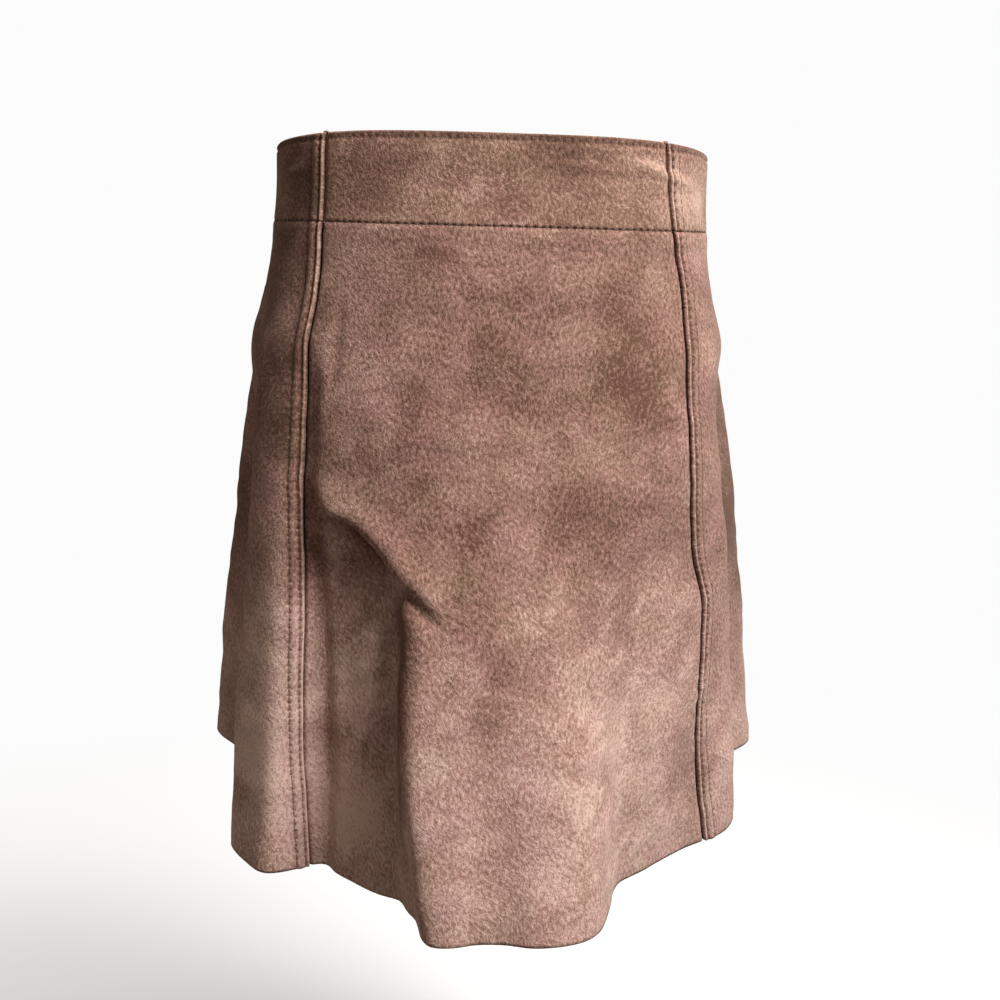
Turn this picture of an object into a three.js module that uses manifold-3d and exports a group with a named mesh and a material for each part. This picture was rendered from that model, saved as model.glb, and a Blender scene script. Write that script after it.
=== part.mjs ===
// A suede mini skirt, filled out as it is worn, with nobody in it. The waist and the hem are open.
// Millimetres, +Z up. The origin is the middle of the waist opening, level with the front of the waist edge.
// The front faces -Y. Left and right are as seen from the front, so right is +X. A drop is a depth below the origin.
import * as THREE from 'three';
import { mergeVertices } from 'three/addons/utils/BufferGeometryUtils.js';
import Module from 'manifold-3d';

// Driving sizes
const BAND_DEPTH = 48; // waist edge to the waistband's lower seam
const SIDE_DIP = 7; // the waist edge dips this much at the sides
const FRONT_LENGTH = 416; // waist edge to the hem, straight down
const BACK_LENGTH = 398;
const PANEL_WALL = 1.6;
const BAND_WALL = 2.5; // the waistband is double
const SEAM_GAP = 0.3;
const LAP_WIDTH = 8.4; // the side panels' turned edges, between their two rows of stitching
const LAP_FALL = 2;
const LAP_RISE = 1;
const ZIP_LENGTH = 186; // waist edge to the bottom stop
const ZIP_OPENING = 8; // between the two back edges beside the zip
const ZIP_OPENING_END = 14; // the edges close over this length below the zip

// The tube's cross-sections: half width, depth of its front and back half, and how square it is (2 is an ellipse).
const SECTIONS = [
  { drop: -10, half: 125.5, front: 97, back: 94, square: 2.7 },
  { drop: 0, half: 125.5, front: 97, back: 94, square: 2.7 },
  { drop: 48, half: 127.5, front: 98, back: 96, square: 2.6 },
  { drop: 80, half: 132, front: 103, back: 101, square: 2.5 },
  { drop: 120, half: 143, front: 109, back: 108, square: 2.5 },
  { drop: 190, half: 152.5, front: 121, back: 119, square: 2.4 },
  { drop: 290, half: 161, front: 138, back: 135, square: 2.3 },
  { drop: 416, half: 169, front: 157, back: 150, square: 2.2 },
  { drop: 440, half: 171, front: 160, back: 152, square: 2.2 },
];

// The steep wall between the valley and the front ridge: the diagonal fold's lip first, then down to the hem.
const VALLEY_WALL = [
  { drop: 180, angle: -47 },
  { drop: 190, angle: -45 },
  { drop: 202, angle: -41 },
  { drop: 209, angle: -34 },
  { drop: 217, angle: -28.5 },
  { drop: 226, angle: -25 },
  { drop: 238, angle: -23 },
  { drop: 255, angle: -22 },
  { drop: 300, angle: -21.2 },
  { drop: 350, angle: -19.6 },
  { drop: 390, angle: -17.4 },
  { drop: 416, angle: -15.6 },
  { drop: 440, angle: -15 },
];

// The large folds, each a band of the tube pushed out or in. Angles in degrees from the front, right is positive.
// top and hem: its two edges where it starts and at the hem. soft: how gently each edge turns. depth: at the hem.
// start: its drop. rise: share of its length in which it wakes. growth: how it deepens. settle: share of its
// length over which its edges move to their places. wall: the edge that follows the valley's wall instead.
const FOLDS = [
  { name: 'seam groove', top: [-52, -46], hem: [-46.5, -40], soft: [3.5, 4], depth: -5, start: 105, rise: 0.14,
    growth: 0.1, settle: 1 },
  { name: 'valley floor', top: [-51, -44], hem: [-46, -15.8], soft: [4, 3.4], depth: -16, start: 180, rise: 0.1,
    growth: 0.22, settle: 0.3, wall: 'high' },
  { name: 'valley depth', top: [-51, -46], hem: [-46.5, -30], soft: [4, 14], depth: -13, start: 190, rise: 0.2,
    growth: 0.6, settle: 0.5 },
  { name: 'front ridge', top: [-12, 16], hem: [-15, 21.5], soft: [3.6, 10], depth: 31, start: 170, rise: 0.3,
    growth: 1.1, settle: 1, wall: 'low' },
  { name: 'ridge dip', top: [-4, 4], hem: [-4, 5], soft: [5, 5], depth: -6, start: 290, rise: 0.3, growth: 1,
    settle: 1 },
  { name: 'right facet', top: [30, 60], hem: [28, 64], soft: [8, 14], depth: -25, start: 150, rise: 0.3, growth: 1.2,
    settle: 1 },
  { name: 'left side valley', top: [-104, -69], hem: [-103, -68], soft: [9, 9], depth: -22, start: 100, rise: 0.24,
    growth: 0.35, settle: 1 },
  { name: 'right side valley', top: [67, 99], hem: [83, 98], soft: [9, 8], depth: -20, start: 100, rise: 0.24,
    growth: 0.15, settle: 1.2 },
  { name: 'back left lobe', top: [-134, -107], hem: [-134, -111], soft: [12, 9], depth: 41, start: 50, rise: 0.12,
    growth: 0.7, settle: 1 },
  { name: 'back right lobe', top: [104, 130], hem: [106, 134], soft: [9, 12], depth: 52, start: 50, rise: 0.16,
    growth: 0.65, settle: 1 },
  { name: 'back valley', top: [-168, -144], hem: [-168, -146], soft: [8, 8], depth: -16, start: 150, rise: 0.3,
    growth: 1.2, settle: 1 },
  { name: 'back ridge', top: [158, 180], hem: [156, 178], soft: [9, 9], depth: 12, start: 190, rise: 0.3,
    growth: 1.2, settle: 1 },
];

// Where the lengthwise seams run, in degrees from the front.
const SEAMS = {
  frontLeft: [
    { drop: 0, angle: -50 },
    { drop: 48, angle: -50.8 },
    { drop: 140, angle: -49.8 },
    { drop: 200, angle: -48.4 },
    { drop: 270, angle: -46.8 },
    { drop: 340, angle: -46 },
    { drop: 416, angle: -45.1 },
  ],
  frontRight: [
    { drop: 0, angle: 48.6 },
    { drop: 48, angle: 52.3 },
    { drop: 80, angle: 54.4 },
    { drop: 130, angle: 52.1 },
    { drop: 200, angle: 51.5 },
    { drop: 225, angle: 52.7 },
    { drop: 265, angle: 57 },
    { drop: 300, angle: 57 },
    { drop: 340, angle: 57.2 },
    { drop: 380, angle: 59.6 },
    { drop: 416, angle: 62 },
  ],
  backLeft: [
    { drop: 0, angle: -129 },
    { drop: 416, angle: -133 },
  ],
  backRight: [
    { drop: 0, angle: 129 },
    { drop: 416, angle: 132 },
  ],
  centreBackLeft: [
    { drop: 0, angle: -180 },
    { drop: 416, angle: -180 },
  ],
  centreBackRight: [
    { drop: 0, angle: 180 },
    { drop: 416, angle: 180 },
  ],
};

// The cut pieces, each from one seam to the next. A lapped end is a turned edge that lies over its neighbour.
const PIECES = [
  { name: 'front', from: 'frontLeft', to: 'frontRight', lapped: [false, false], columns: 34, bandColumns: 20 },
  { name: 'side_left', from: 'backLeft', to: 'frontLeft', lapped: [true, true], columns: 16, bandColumns: 10 },
  { name: 'side_right', from: 'frontRight', to: 'backRight', lapped: [true, true], columns: 16, bandColumns: 10 },
  { name: 'back_left', from: 'centreBackLeft', to: 'backLeft', lapped: [false, false], columns: 11, bandColumns: 7 },
  { name: 'back_right', from: 'backRight', to: 'centreBackRight', lapped: [false, false], columns: 11, bandColumns: 7 },
];
const PANEL_ROWS = 25;
const BAND_ROWS = 4;
const RING_STEPS = 160; // fine steps along a ring, from which its columns are spaced
const SMALL_TURN = 0.05; // degrees, for the wall's direction
const SMALL_DROP = 0.1;

const SUEDE = { color: 0x8f6c5f, roughness: 0.95, metalness: 0 };
const SUEDE_BAND = { color: 0x7d5c4f, roughness: 0.95, metalness: 0 };
const TAPE_CLOTH = { color: 0x5a4238, roughness: 0.9, metalness: 0 };
const OLD_BRASS = { color: 0x8a7350, roughness: 0.4, metalness: 1 };

const skirt = new THREE.Group();
skirt.name = 'suede_mini_skirt';

// The surface

const radians = THREE.MathUtils.degToRad;
const mix = THREE.MathUtils.lerp;

function smooth(x) {
  const t = THREE.MathUtils.clamp(x, 0, 1);
  return t * t * (3 - 2 * t);
}

function wrapped(angle) {
  return THREE.MathUtils.euclideanModulo(angle + 180, 360) - 180;
}

// A soft step from 0 to 1, centred where x is 0.
function softStep(x, softness) {
  return 0.5 + 0.5 * Math.tanh((2 * x) / softness);
}

// The slope of a table's column at one of its rows.
function slopeAt(rows, index, column) {
  const secant = (i) => (rows[i + 1][column] - rows[i][column]) / (rows[i + 1].drop - rows[i].drop);
  if (index === 0) return secant(0);
  if (index === rows.length - 1) return secant(index - 1);
  const before = rows[index].drop - rows[index - 1].drop;
  const after = rows[index + 1].drop - rows[index].drop;
  return (secant(index - 1) * after + secant(index) * before) / (before + after);
}

// One column of a table at any drop, on a smooth curve through the rows.
function readTable(rows, drop, column) {
  let i = 0;
  while (i < rows.length - 2 && drop >= rows[i + 1].drop) i += 1;
  const span = rows[i + 1].drop - rows[i].drop;
  const t = THREE.MathUtils.clamp((drop - rows[i].drop) / span, 0, 1);
  return (
    (1 + 2 * t) * (1 - t) ** 2 * rows[i][column] +
    t * (1 - t) ** 2 * span * slopeAt(rows, i, column) +
    t * t * (3 - 2 * t) * rows[i + 1][column] +
    t * t * (t - 1) * span * slopeAt(rows, i + 1, column)
  );
}

// How far the folds push the wall out at an angle and a drop.
function foldDepth(angle, drop) {
  let depth = 0;
  const wall = readTable(VALLEY_WALL, drop, 'angle');
  for (const fold of FOLDS) {
    const t = THREE.MathUtils.clamp((drop - fold.start) / (FRONT_LENGTH - fold.start), 0, 1.1);
    const moved = smooth(t / fold.settle);
    const low = fold.wall === 'low' ? wall : mix(fold.top[0], fold.hem[0], moved);
    const high = fold.wall === 'high' ? wall : mix(fold.top[1], fold.hem[1], moved);
    const half = (high - low) / 2;
    const off = wrapped(angle - (low + high) / 2);
    const width = softStep(off + half, fold.soft[0]) * softStep(half - off, fold.soft[1]);
    depth += fold.depth * smooth(t / fold.rise) * t ** fold.growth * width;
  }
  return depth;
}

// Distance from the middle to the outside of the wall.
function wallRadius(angle, drop) {
  const across = Math.sin(radians(angle));
  const along = Math.cos(radians(angle));
  const half = readTable(SECTIONS, drop, 'half');
  const depth = readTable(SECTIONS, drop, along >= 0 ? 'front' : 'back');
  const square = readTable(SECTIONS, drop, 'square');
  const reach = Math.abs(across / half) ** square + Math.abs(along / depth) ** square;
  return reach ** (-1 / square) + foldDepth(angle, drop);
}

function surfacePoint(angle, drop) {
  const radius = wallRadius(angle, drop);
  return new THREE.Vector3(radius * Math.sin(radians(angle)), -radius * Math.cos(radians(angle)), -drop);
}

// The wall's outward direction, from small steps along the surface.
function surfaceNormal(angle, drop) {
  const across = surfacePoint(angle + SMALL_TURN, drop).sub(surfacePoint(angle - SMALL_TURN, drop));
  const down = surfacePoint(angle, drop + SMALL_DROP).sub(surfacePoint(angle, drop - SMALL_DROP));
  return down.cross(across).normalize();
}

function edgeDrop(angle) {
  return SIDE_DIP * Math.sin(radians(angle)) ** 6;
}

function hemDrop(angle) {
  const middle = (FRONT_LENGTH + BACK_LENGTH) / 2;
  return middle + ((FRONT_LENGTH - BACK_LENGTH) / 2) * Math.cos(radians(angle));
}

// The drop of a row: share 0 is its upper end and 1 its lower end.
function panelDrop(angle, share) {
  return mix(BAND_DEPTH + SEAM_GAP / 2, hemDrop(angle), share);
}

function bandDrop(angle, share) {
  return mix(edgeDrop(angle), BAND_DEPTH - SEAM_GAP / 2, share);
}

// The walls

// What a piece keeps clear of its end, so that it stops short of the seam, or of the zip at centre back.
function endClearance(seam, drop) {
  if (!seam.startsWith('centreBack')) return SEAM_GAP / 2;
  return mix(ZIP_OPENING / 2, SEAM_GAP / 2, smooth((drop - ZIP_LENGTH) / ZIP_OPENING_END));
}

function lapRaise(distance) {
  return LAP_RISE * (1 - smooth((distance - LAP_WIDTH) / LAP_FALL));
}

// Where the columns lie along a row of this length. A lapped end has columns at its band's two edges.
function columnPlaces(length, columns, lapped) {
  const lapColumns = [0, LAP_WIDTH / 2, LAP_WIDTH, LAP_WIDTH + LAP_FALL];
  const starts = lapped[0] ? lapColumns : [0];
  const ends = lapped[1] ? lapColumns.map((place) => length - place).reverse() : [length];
  const first = starts.at(-1);
  const last = ends[0];
  const between = Array.from({ length: columns - 1 }, (_, i) => mix(first, last, (i + 1) / columns));
  return [...starts, ...between, ...ends];
}

// One row of a piece: its outer and inner points, evenly spaced along the cloth between its two seams.
function pieceRow(piece, columns, wall, dropAt, share) {
  const middleDrop = dropAt(0, share);
  const low = readTable(SEAMS[piece.from], middleDrop, 'angle');
  const high = readTable(SEAMS[piece.to], middleDrop, 'angle');
  const angles = Array.from({ length: RING_STEPS + 1 }, (_, i) => mix(low, high, i / RING_STEPS));
  const lengths = [0];
  let last = surfacePoint(low, dropAt(low, share));
  for (const angle of angles.slice(1)) {
    const next = surfacePoint(angle, dropAt(angle, share));
    lengths.push(lengths.at(-1) + next.distanceTo(last));
    last = next;
  }
  const startGap = endClearance(piece.from, dropAt(low, share));
  const length = lengths.at(-1) - startGap - endClearance(piece.to, dropAt(high, share));
  const row = { outer: [], inner: [] };
  for (const place of columnPlaces(length, columns, piece.lapped)) {
    const walked = place + startGap;
    let i = 0;
    while (i < RING_STEPS - 1 && lengths[i + 1] < walked) i += 1;
    const angle = mix(angles[i], angles[i + 1], (walked - lengths[i]) / (lengths[i + 1] - lengths[i]));
    const point = surfacePoint(angle, dropAt(angle, share));
    const normal = surfaceNormal(angle, dropAt(angle, share));
    const fromLap = Math.min(piece.lapped[0] ? place : Infinity, piece.lapped[1] ? length - place : Infinity);
    row.outer.push(point.clone().addScaledVector(normal, lapRaise(fromLap)));
    row.inner.push(point.clone().addScaledVector(normal, -wall));
  }
  return row;
}

// A closed wall from rows of outer and inner points, which run from left to right and from the top down.
function wallGeometry(rows) {
  const columns = rows[0].outer.length;
  const layer = rows.length * columns;
  const points = [...rows.flatMap((row) => row.outer), ...rows.flatMap((row) => row.inner)];
  const faces = [];
  const quad = (a, b, c, d) => faces.push(a, b, c, a, c, d);
  const outer = (r, c) => r * columns + c;
  const inner = (r, c) => layer + r * columns + c;
  for (let r = 0; r < rows.length - 1; r += 1) {
    for (let c = 0; c < columns - 1; c += 1) {
      quad(outer(r, c), outer(r + 1, c), outer(r + 1, c + 1), outer(r, c + 1));
      quad(inner(r, c), inner(r, c + 1), inner(r + 1, c + 1), inner(r + 1, c));
    }
    quad(outer(r, 0), inner(r, 0), inner(r + 1, 0), outer(r + 1, 0));
    quad(outer(r, columns - 1), outer(r + 1, columns - 1), inner(r + 1, columns - 1), inner(r, columns - 1));
  }
  const bottom = rows.length - 1;
  for (let c = 0; c < columns - 1; c += 1) {
    quad(outer(0, c), outer(0, c + 1), inner(0, c + 1), inner(0, c));
    quad(outer(bottom, c), inner(bottom, c), inner(bottom, c + 1), outer(bottom, c + 1));
  }
  const geometry = new THREE.BufferGeometry().setFromPoints(points);
  geometry.setIndex(faces);
  geometry.computeVertexNormals();
  return geometry;
}

function addMesh(name, geometry, finish, parent = skirt) {
  const mesh = new THREE.Mesh(geometry, new THREE.MeshStandardMaterial(finish));
  mesh.name = name;
  parent.add(mesh);
  return mesh;
}

function addPiece(piece) {
  const rowsOf = (count, columns, wall, dropAt) =>
    Array.from({ length: count + 1 }, (_, i) => pieceRow(piece, columns, wall, dropAt, i / count));
  const panelRows = rowsOf(PANEL_ROWS, piece.columns, PANEL_WALL, panelDrop);
  const bandRows = rowsOf(BAND_ROWS, piece.bandColumns, BAND_WALL, bandDrop);
  addMesh(`${piece.name}_panel`, wallGeometry(panelRows), SUEDE);
  addMesh(`waistband_${piece.name}`, wallGeometry(bandRows), SUEDE_BAND);
}

// The zip, closed, at centre back

const TAPE_WIDTH = 26;
const TAPE_WALL = 0.8;
const TAPE_CLEARANCE = 0.5; // behind the suede
const TAPE_START = 2; // drop of its upper end
const TAPE_EASE = 12; // below the waistband it comes forward over this length
const TAPE_BAND_ROWS = 4;
const TAPE_PANEL_ROWS = 10;
const METAL_SEAT = 0.3; // between the metal pieces and the tape
const SLIDER_DROP = 12; // of the slider's middle and the tab's hinge
const SLIDER_LENGTH = 10;
const SLIDER_WIDTH = 7;
const SLIDER_CORNER = 1.5;
const SLIDER_OUT = 0.7; // its top plate stands this far outside the suede
const HINGE_OUT = 2.6; // the tab's hinge, outside the suede
const BAR_RADIUS = 0.65;
const BAR_SIDES = 12;
const EAR_WALL = 1;
const EAR_HEIGHT = 2.6;
const EAR_ROOT = 0.5; // the ears start this far inside the top plate
const EAR_GAP = 0.3; // from the tab's knuckle
const KNUCKLE_LENGTH = 3;
const KNUCKLE_RADIUS = 1.5;
const KNUCKLE_HOLE = 0.95;
const KNUCKLE_SIDES = 16;
const TAB_LENGTH = 26;
const TAB_WIDTH = 6;
const TAB_WALL = 1.2;
const TAB_CORNER = 2;
const TAB_START = 2.7; // the blade's upper end, below the hinge
const TAB_NECK = 4; // the neck's lower end, below the hinge
const STOP_DEPTH = 2;
const STOP_CORNER = 0.6;
const STOPS = [
  { name: 'zip_bottom_stop', width: 5, height: 3.4, x: 0, drop: 180 },
  { name: 'zip_top_stop_left', width: 1.8, height: 3, x: -1.7, drop: 4.5 },
  { name: 'zip_top_stop_right', width: 1.8, height: 3, x: 1.7, drop: 4.5 },
];

const wasm = await Module();
wasm.setup();

function asSolid(geometry) {
  const bare = geometry.clone();
  bare.deleteAttribute('normal');
  bare.deleteAttribute('uv');
  const merged = mergeVertices(bare);
  const mesh = new wasm.Mesh({
    numProp: 3,
    vertProperties: new Float32Array(merged.attributes.position.array),
    triVerts: new Uint32Array(merged.index.array),
  });
  return new wasm.Manifold(mesh);
}

function asGeometry(solid) {
  const mesh = solid.getMesh();
  const geometry = new THREE.BufferGeometry();
  geometry.setAttribute('position', new THREE.BufferAttribute(new Float32Array(mesh.vertProperties), 3));
  geometry.setIndex(Array.from(mesh.triVerts));
  geometry.computeVertexNormals();
  return geometry;
}

// The suede's outside at centre back.
function backDepth(drop) {
  return wallRadius(180, drop);
}

// The tape's outside, which lies deeper behind the double waistband.
function tapeDepth(drop) {
  const wall = mix(BAND_WALL, PANEL_WALL, smooth((drop - BAND_DEPTH) / TAPE_EASE));
  return backDepth(drop) - wall - TAPE_CLEARANCE;
}

// A rod along X.
function rod(radius, length, sides) {
  return new THREE.CylinderGeometry(radius, radius, length, sides).rotateZ(Math.PI / 2);
}

// A plate with rounded corners that stands across Y, with its middle at the origin.
function plate(width, height, depth, corner) {
  const x = width / 2 - corner;
  const z = height / 2 - corner;
  const outline = new THREE.Shape();
  outline.absarc(x, -z, corner, -Math.PI / 2, 0);
  outline.absarc(x, z, corner, 0, Math.PI / 2);
  outline.absarc(-x, z, corner, Math.PI / 2, Math.PI);
  outline.absarc(-x, -z, corner, Math.PI, 1.5 * Math.PI);
  const geometry = new THREE.ExtrudeGeometry(outline, { depth, bevelEnabled: false, curveSegments: 3 });
  return geometry.rotateX(Math.PI / 2).translate(0, depth / 2, 0);
}

function addTape() {
  const panelPitch = (BACK_LENGTH - BAND_DEPTH) / PANEL_ROWS;
  const bandPitch = (BAND_DEPTH - TAPE_START) / TAPE_BAND_ROWS;
  const bandDrops = Array.from({ length: TAPE_BAND_ROWS }, (_, i) => TAPE_START + bandPitch * i);
  const panelDrops = Array.from({ length: TAPE_PANEL_ROWS + 1 }, (_, i) => BAND_DEPTH + panelPitch * i);
  const across = [TAPE_WIDTH / 2, 0, -TAPE_WIDTH / 2];
  const rows = [...bandDrops, ...panelDrops].map((drop) => ({
    outer: across.map((x) => new THREE.Vector3(x, tapeDepth(drop), -drop)),
    inner: across.map((x) => new THREE.Vector3(x, tapeDepth(drop) - TAPE_WALL, -drop)),
  }));
  addMesh('zip_tape', wallGeometry(rows), TAPE_CLOTH);
}

// The slider's body, with two ears and the bar that the pull tab hangs from.
function addSlider() {
  const low = tapeDepth(SLIDER_DROP) + METAL_SEAT;
  const high = backDepth(SLIDER_DROP) + SLIDER_OUT;
  const hinge = backDepth(SLIDER_DROP) + HINGE_OUT;
  const earPlace = KNUCKLE_LENGTH / 2 + EAR_GAP + EAR_WALL / 2;
  const earReach = hinge + EAR_HEIGHT / 2 - high + EAR_ROOT;
  let slider = asSolid(plate(SLIDER_WIDTH, SLIDER_LENGTH, high - low, SLIDER_CORNER).translate(0, (low + high) / 2, 0));
  for (const side of [-1, 1]) {
    const ear = new THREE.BoxGeometry(EAR_WALL, earReach, EAR_HEIGHT);
    slider = slider.add(asSolid(ear.translate(side * earPlace, high - EAR_ROOT + earReach / 2, 0)));
  }
  slider = slider.add(asSolid(rod(BAR_RADIUS, 2 * earPlace, BAR_SIDES).translate(0, hinge, 0)));
  addMesh('zip_slider', asGeometry(slider), OLD_BRASS).position.z = -SLIDER_DROP;
}

// The pull tab's own origin is on its hinge.
function addPullTab() {
  const knuckle = asSolid(rod(KNUCKLE_RADIUS, KNUCKLE_LENGTH, KNUCKLE_SIDES));
  const neck = asSolid(new THREE.BoxGeometry(KNUCKLE_LENGTH, TAB_WALL, TAB_NECK).translate(0, 0, -TAB_NECK / 2));
  const middle = -TAB_START - TAB_LENGTH / 2;
  const blade = asSolid(plate(TAB_WIDTH, TAB_LENGTH, TAB_WALL, TAB_CORNER).translate(0, 0, middle));
  const hole = asSolid(rod(KNUCKLE_HOLE, 2 * KNUCKLE_LENGTH, KNUCKLE_SIDES));
  const tab = addMesh('zip_pull_tab', asGeometry(knuckle.add(neck).add(blade).subtract(hole)), OLD_BRASS);
  tab.position.set(0, backDepth(SLIDER_DROP) + HINGE_OUT, -SLIDER_DROP);
}

function addStop({ name, width, height, x, drop }) {
  const stop = addMesh(name, plate(width, height, STOP_DEPTH, STOP_CORNER), OLD_BRASS);
  stop.position.set(x, tapeDepth(drop) + METAL_SEAT + STOP_DEPTH / 2, -drop);
}

PIECES.forEach(addPiece);
addTape();
addSlider();
addPullTab();
STOPS.forEach(addStop);

export default skirt;
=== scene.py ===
# A suede mini skirt, filled out as it is worn, with nobody in it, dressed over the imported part.
# The form is worked out in millimetres, like the part's own, and the meshes are in metres. A drop is a depth
# below the origin. An angle is in degrees round the skirt from the front, positive to the right.
import math

import bmesh
import bpy
import numpy as np
from mathutils import Matrix, Vector


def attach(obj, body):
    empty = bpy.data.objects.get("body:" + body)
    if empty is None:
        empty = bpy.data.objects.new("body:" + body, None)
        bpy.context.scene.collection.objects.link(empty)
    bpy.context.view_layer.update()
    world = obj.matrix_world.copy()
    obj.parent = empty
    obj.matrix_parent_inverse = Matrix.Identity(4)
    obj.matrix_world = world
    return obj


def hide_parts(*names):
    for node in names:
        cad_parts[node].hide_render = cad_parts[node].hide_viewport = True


MM = 0.001

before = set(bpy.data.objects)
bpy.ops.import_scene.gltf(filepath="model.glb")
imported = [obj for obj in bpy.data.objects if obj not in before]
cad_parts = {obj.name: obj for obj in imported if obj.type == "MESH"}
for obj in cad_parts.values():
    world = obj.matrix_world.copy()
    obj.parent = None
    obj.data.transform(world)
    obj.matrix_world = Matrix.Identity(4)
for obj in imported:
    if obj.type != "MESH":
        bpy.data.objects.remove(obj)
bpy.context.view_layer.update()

# The camera

CAMERA_DISTANCE = 0.8
CAMERA_HEIGHT = -0.049
CAMERA_AZIMUTH = -2.75
CAMERA_YAW = 0.75
CAMERA_PITCH = 11.8
CAMERA_ROLL = 1.6
CAMERA_LENS = 46.8
CAMERA_NEAR = 0.01


def make_camera():
    azimuth = math.radians(CAMERA_AZIMUTH)
    heading = azimuth - math.radians(CAMERA_YAW)
    pitch = math.radians(CAMERA_PITCH)
    roll = math.radians(CAMERA_ROLL)
    forward = math.cos(pitch)
    ahead = Vector((-math.sin(heading) * forward, math.cos(heading) * forward, -math.sin(pitch)))
    level = Vector((math.cos(heading), math.sin(heading), 0))
    upright = level.cross(ahead)
    right = math.cos(roll) * level + math.sin(roll) * upright
    top = math.cos(roll) * upright - math.sin(roll) * level
    place = Vector((math.sin(azimuth) * CAMERA_DISTANCE, -math.cos(azimuth) * CAMERA_DISTANCE, CAMERA_HEIGHT))
    lens = bpy.data.cameras.new("camera")
    lens.lens = CAMERA_LENS
    lens.clip_start = CAMERA_NEAR
    camera = bpy.data.objects.new("camera", lens)
    camera.matrix_world = Matrix.Translation(place) @ Matrix((right, top, -ahead)).transposed().to_4x4()
    bpy.context.scene.collection.objects.link(camera)
    bpy.context.scene.camera = camera


make_camera()

# The form's driving sizes, which are the part's own

BAND_DEPTH = 48
SIDE_DIP = 7
SIDE_DIP_POWER = 6
FRONT_LENGTH = 416
BACK_LENGTH = 398
PANEL_WALL = 1.6
BAND_WALL = 2.5
SEAM_GAP = 0.3
SHUT_SEAM = 0.01  # below the zip the two turned edges touch
ZIP_LENGTH = 186
ZIP_OPENING = 8
ZIP_OPENING_END = 14


def named_columns(names, rows):
    """A table as one array per named column."""
    return {name: np.array([row[i] for row in rows], float) for i, name in enumerate(names)}


def named_rows(names, rows):
    """A table as one dictionary per row."""
    return [dict(zip(names, row)) for row in rows]


# Cross-sections of the tube: half width, depth of the front and back half, and how square it is.
SECTIONS = named_columns(("drop", "half", "front", "back", "square"), [
    (-10, 125.5, 97, 94, 2.7), (0, 125.5, 97, 94, 2.7), (48, 127.5, 98, 96, 2.6),
    (80, 132, 103, 101, 2.5), (120, 143, 109, 108, 2.5), (190, 152.5, 121, 119, 2.4),
    (290, 161, 138, 135, 2.3), (416, 169, 157, 150, 2.2), (440, 171, 160, 152, 2.2),
])

# The steep wall between the valley and the front ridge: the diagonal fold's lip first, then down to the hem.
VALLEY_WALL = named_columns(("drop", "angle"), [
    (180, -47), (190, -45), (202, -41), (209, -34), (217, -28.5), (226, -25), (238, -23), (255, -22),
    (300, -21.2), (350, -19.6), (390, -17.4), (416, -15.6), (440, -15),
])

# Degrees that the wall's foot and its top lie to either side of it, once it is past the diagonal fold.
WALL_FOOT = 1.3
WALL_TOP = 3.4
WALL_SPREAD_START = 230
WALL_SPREAD_LENGTH = 30
FOLD_LIMIT = 1.1  # the folds grow on past the hem, up to here

# The large folds: edges where they start and at the hem, softness of each edge, depth at the hem, and how
# they wake. wall says which edge of a fold follows the valley's wall instead.
FOLDS = named_rows(("name", "top", "hem", "soft", "depth", "start", "rise", "growth", "settle", "wall"), [
    ("seam groove", (-52, -46), (-46.5, -40), (3.5, 4), -5, 105, 0.14, 0.1, 1, None),
    ("valley floor", (-48, -44), (-46, -15.8), (3.4, 3.4), -16, 180, 0.1, 0.3, 0.3, "high"),
    ("valley depth", (-51, -46), (-46.5, -30), (4, 14), -13, 190, 0.2, 0.6, 0.5, None),
    ("front ridge", (-12, 16), (-15, 21.5), (3.6, 10), 31, 170, 0.3, 1.1, 1, "low"),
    ("ridge dip", (-4, 4), (-4, 5), (5, 5), -6, 290, 0.3, 1, 1, None),
    ("right facet", (30, 60), (28, 64), (8, 14), -25, 150, 0.3, 1.2, 1, None),
    ("left side valley", (-104, -69), (-103, -68), (9, 9), -22, 100, 0.24, 0.35, 1, None),
    ("right side valley", (67, 99), (83, 98), (9, 8), -20, 100, 0.24, 0.15, 1.2, None),
    ("back left lobe", (-134, -107), (-134, -111), (12, 9), 41, 50, 0.12, 0.7, 1, None),
    ("back right lobe", (104, 130), (106, 134), (9, 12), 52, 50, 0.16, 0.65, 1, None),
    ("back valley", (-168, -144), (-168, -146), (8, 8), -16, 150, 0.3, 1.2, 1, None),
    ("back ridge", (158, 180), (156, 178), (9, 9), 12, 190, 0.3, 1.2, 1, None),
])

# Where the lengthwise seams run.
SEAMS = {name: named_columns(("drop", "angle"), rows) for name, rows in {
    "front_left": [
        (0, -50), (48, -50.8), (140, -49.8), (200, -48.4), (270, -46.8), (340, -46), (416, -45.1),
    ],
    "front_right": [
        (0, 48.6), (48, 52.3), (80, 54.4), (130, 52.1), (200, 51.5), (225, 52.7), (265, 57), (300, 57),
        (340, 57.2), (380, 59.6), (416, 62),
    ],
    "back_left": [(0, -129), (416, -133)],
    "back_right": [(0, 129), (416, 132)],
    "centre_back_left": [(0, -180), (416, -180)],
    "centre_back_right": [(0, 180), (416, 180)],
}.items()}

# The cut pieces from one seam to the next, how each end is sewn, and the flat size that each panel is cut to.
PIECES = named_rows(("name", "from", "to", "edges", "panel_cut", "band_cut"), [
    ("front", "front_left", "front_right", ("under", "under"), (0.325, 0.385), (0.215, 0.1)),
    ("side_left", "back_left", "front_left", ("lap", "lap"), (0.3, 0.385), (0.19, 0.1)),
    ("side_right", "front_right", "back_right", ("lap", "lap"), (0.29, 0.385), (0.19, 0.1)),
    ("back_left", "centre_back_left", "back_left", ("zip", "under"), (0.16, 0.365), (0.11, 0.1)),
    ("back_right", "back_right", "centre_back_right", ("under", "zip"), (0.165, 0.365), (0.11, 0.1)),
])

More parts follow.
